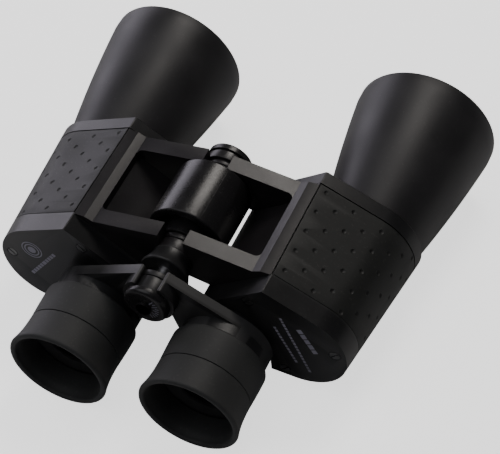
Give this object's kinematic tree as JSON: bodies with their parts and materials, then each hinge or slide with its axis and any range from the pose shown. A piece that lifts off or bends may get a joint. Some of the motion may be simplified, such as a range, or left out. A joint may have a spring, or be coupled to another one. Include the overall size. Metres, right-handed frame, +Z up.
{
  "type": "binoculars",
  "caption": "Folding Porro-prism binoculars with flared objective barrels, a centre focusing wheel between two hinge arms, rubber grips and eyecups.",
  "frame": {"origin": "middle of the instrument's length and width, level with the bottom of the objective rims", "axes": "+X to the user's right, +Y towards the objectives (the viewing direction), +Z up, towards the hinge"},
  "size_m": [0.1844, 0.1764, 0.0732],
  "materials": {
    "frame_black": "satin",
    "barrel_black": "matte",
    "bridge_black": "satin",
    "anodised_black": "matte",
    "cover_black": "satin",
    "knob_black": "satin",
    "grip_rubber": "matte",
    "eyecup_rubber": "matte",
    "coated_glass": "polished",
    "optical_glass": "polished",
    "spring_steel": "satin",
    "blackened_steel": "satin",
    "brass_insert": "satin"
  },
  "bodies": {
    "left_half": {"housing_left": "frame_black", "grip_left": "grip_rubber", "front_cover_left": "cover_black", "rear_cover_left": "cover_black", "cover_screws_left": "blackened_steel", "objective_barrel_left": "barrel_black", "objective_cell_left": "anodised_black", "objective_crown_left": "coated_glass", "objective_flint_left": "optical_glass", "objective_retainer_left": "anodised_black", "prism_shelf_left": "anodised_black", "front_prism_left": "optical_glass", "rear_prism_left": "optical_glass", "front_prism_clip_left": "spring_steel", "rear_prism_clip_left": "spring_steel", "hinge_tube_front": "spring_steel", "hinge_tube_rear": "spring_steel", "hinge_front_cap": "knob_black", "tripod_socket": "brass_insert", "hinge_rear_collar": "bridge_black"},
    "right_half": {"housing_right": "frame_black", "grip_right": "grip_rubber", "front_cover_right": "cover_black", "rear_cover_right": "cover_black", "cover_screws_right": "blackened_steel", "objective_barrel_right": "barrel_black", "objective_cell_right": "anodised_black", "objective_crown_right": "coated_glass", "objective_flint_right": "optical_glass", "objective_retainer_right": "anodised_black", "prism_shelf_right": "anodised_black", "front_prism_right": "optical_glass", "rear_prism_right": "optical_glass", "front_prism_clip_right": "spring_steel", "rear_prism_clip_right": "spring_steel"},
    "focus_drive": {"focus_wheel": "knob_black", "focus_nut": "brass_insert"},
    "left_ocular": {"ocular_arm_left": "bridge_black", "focus_spindle": "spring_steel", "ipd_scale_cap": "knob_black", "eyepiece_collar": "eyecup_rubber", "eyepiece_tube_left": "anodised_black", "eye_lens_left": "coated_glass", "field_lens_left": "optical_glass", "field_stop_left": "anodised_black", "eyepiece_retainer_left": "anodised_black", "eyecup_left": "eyecup_rubber"},
    "right_ocular": {"ocular_arm_right": "bridge_black"},
    "diopter_drive": {"diopter_ring": "eyecup_rubber"},
    "right_eyepiece": {"eyepiece_tube_right": "anodised_black", "eye_lens_right": "coated_glass", "field_lens_right": "optical_glass", "field_stop_right": "anodised_black", "eyepiece_retainer_right": "anodised_black", "eyecup_right": "eyecup_rubber"}
  },
  "joints": [
    {"name": "fold", "type": "hinge", "parent": "left_half", "child": "right_half", "pos_m": [0, 0, 0.0568], "axis": [0, -1, 0], "range_deg": [-3, 46]},
    {"name": "focus_turn", "type": "hinge", "parent": "left_half", "child": "focus_drive", "pos_m": [0, 0, 0.0568], "axis": [0, 1, 0], "range_deg": [-92, 182]},
    {"name": "left_ocular_slide", "type": "slide", "parent": "left_half", "child": "left_ocular", "axis": [0, -1, 0], "range_m": [-0.003, 0.006]},
    {"name": "right_ocular_slide", "type": "slide", "parent": "right_half", "child": "right_ocular", "axis": [0, -1, 0], "range_m": [-0.0031, 0.0061]},
    {"name": "diopter_turn", "type": "hinge", "parent": "right_ocular", "child": "diopter_drive", "pos_m": [0.02863, -0.066, 0.03414], "axis": [0, 1, 0], "range_deg": [-2, 182]},
    {"name": "right_eyepiece_slide", "type": "slide", "parent": "diopter_drive", "child": "right_eyepiece", "axis": [0, -1, 0], "range_m": [0, 0.004]}
  ],
  "couplings": [
    {"joint": "focus_turn", "follows": "left_ocular_slide", "rad_per_m": 523.6},
    {"joint": "right_ocular_slide", "follows": "left_ocular_slide", "ratio": 1},
    {"joint": "diopter_turn", "follows": "right_eyepiece_slide", "rad_per_m": 785.4}
  ]
}
